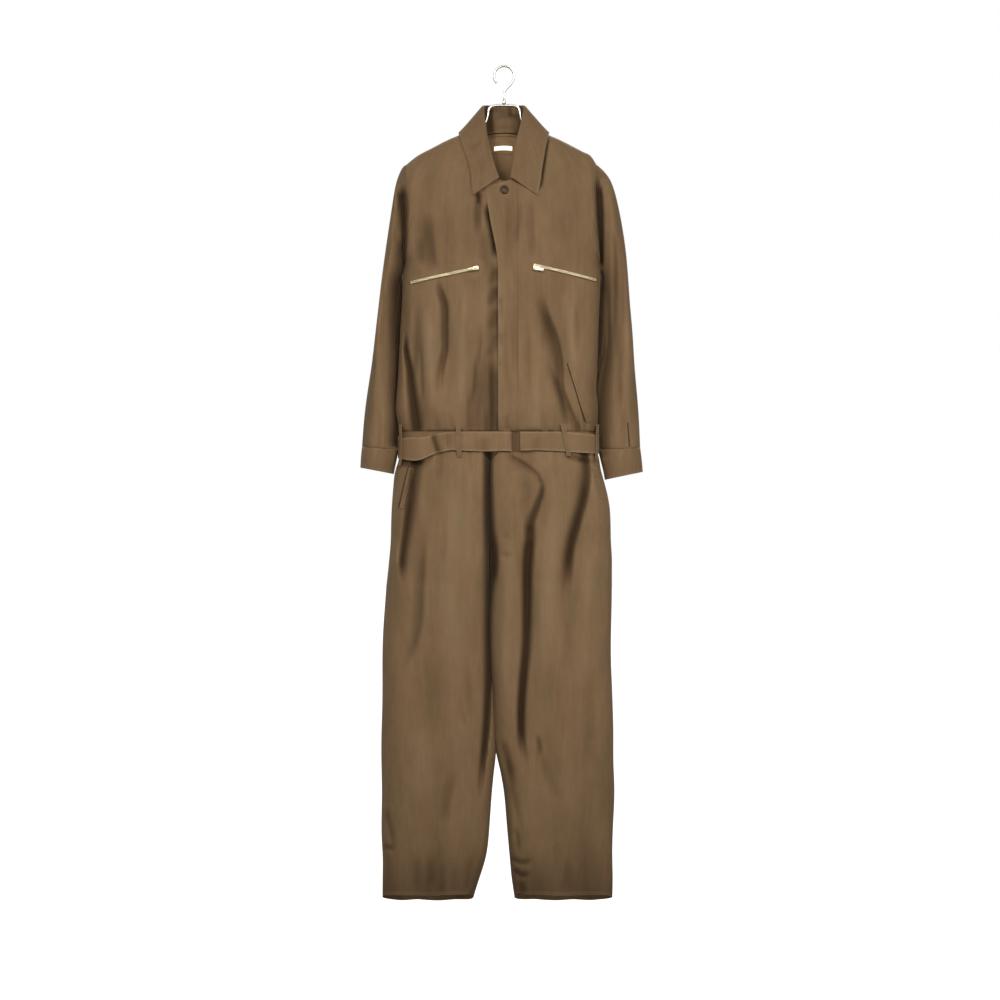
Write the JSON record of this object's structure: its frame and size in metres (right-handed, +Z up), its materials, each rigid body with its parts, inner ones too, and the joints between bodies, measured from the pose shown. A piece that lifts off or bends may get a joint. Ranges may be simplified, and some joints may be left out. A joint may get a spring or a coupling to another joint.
{
  "type": "boiler suit on a hanger",
  "caption": "Long-sleeved boiler suit with pointed collar, slanted chest zips, belt in loops and wide legs, hung on a rod hanger.",
  "frame": {"origin": "the inner top of the hanger's hook, where a rail would touch it", "axes": "+Z up, -Y the front of the suit, +X the right of the front view (the wearer's left)"},
  "size_m": [0.537, 0.1732, 1.5906],
  "materials": {
    "linen_cotton_twill": "khaki brown linen and cotton twill, slightly lustrous",
    "linen_cotton_trim": "the same twill, doubled and pressed",
    "woven_label": "bare cream woven tape",
    "nickel_plated_steel": "bright nickel plate",
    "pale_brass": "pale polished brass",
    "dark_horn": "polished dark horn"
  },
  "bodies": {
    "root": {"front_left": "linen_cotton_twill", "front_right": "linen_cotton_twill", "back": "linen_cotton_twill", "placket": "linen_cotton_twill", "collar": "linen_cotton_twill", "sleeve_left": "linen_cotton_twill", "sleeve_right": "linen_cotton_twill", "cuff_left": "linen_cotton_twill", "cuff_right": "linen_cotton_twill", "belt": "linen_cotton_twill", "trouser_front_left": "linen_cotton_twill", "trouser_front_right": "linen_cotton_twill", "trouser_back_left": "linen_cotton_twill", "trouser_back_right": "linen_cotton_twill", "waistband": "linen_cotton_trim", "neck_facing": "linen_cotton_trim", "loop_front_left": "linen_cotton_trim", "loop_front_right": "linen_cotton_trim", "loop_side_left": "linen_cotton_trim", "loop_side_right": "linen_cotton_trim", "loop_back_left": "linen_cotton_trim", "loop_back_right": "linen_cotton_trim", "hip_pocket_left": "linen_cotton_trim", "hip_pocket_right": "linen_cotton_trim", "slit_welt_right": "linen_cotton_trim", "label": "woven_label", "hanger": "nickel_plated_steel", "ferrule": "nickel_plated_steel", "hook": "nickel_plated_steel", "zip_chain_left": "pale_brass", "zip_chain_right": "pale_brass", "zip_slider_left": "pale_brass", "zip_slider_right": "pale_brass", "button": "dark_horn"},
    "pull_left": {"zip_pull_left": "pale_brass"},
    "pull_right": {"zip_pull_right": "pale_brass"}
  },
  "joints": [
    {"name": "pull_left", "type": "hinge", "parent": "root", "child": "pull_left", "pos_m": [-0.053, -0.08196, -0.38671], "axis": [-0.208, 0, 0.9781], "range_deg": [0, 180]},
    {"name": "pull_right", "type": "hinge", "parent": "root", "child": "pull_right", "pos_m": [0.0591, -0.08145, -0.38682], "axis": [-0.2249, 0, -0.9744], "range_deg": [0, 180]}
  ]
}
